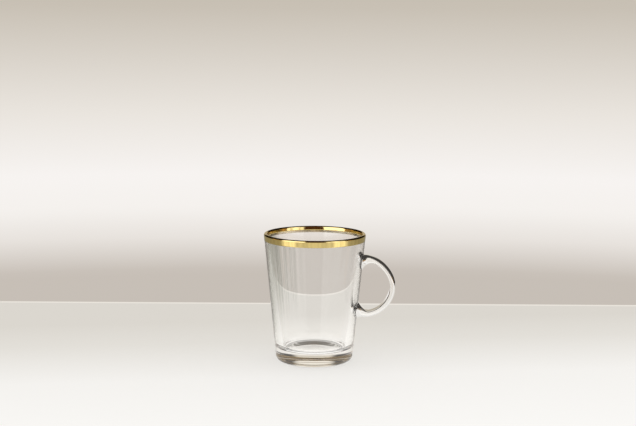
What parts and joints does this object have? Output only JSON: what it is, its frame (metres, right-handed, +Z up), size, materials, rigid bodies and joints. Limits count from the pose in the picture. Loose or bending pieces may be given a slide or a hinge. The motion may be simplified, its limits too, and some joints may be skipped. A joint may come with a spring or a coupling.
{
  "type": "tea glass with handle",
  "caption": "Clear conical tea glass with a heavy base, a fused C-shaped strap handle and a fired gold rim, for hot drinks.",
  "frame": {"origin": "middle of the footprint of glass and handle together, at table level", "axes": "+Z up along the glass, +X from the glass towards the handle"},
  "size_m": [0.104, 0.0802, 0.1016],
  "materials": {
    "clear_glass": "clear, fire-polished",
    "fired_gold": "bright fired gold film"
  },
  "bodies": {
    "root": {"glass_body": "clear_glass", "handle": "clear_glass", "gold_rim": "fired_gold"}
  },
  "joints": []
}
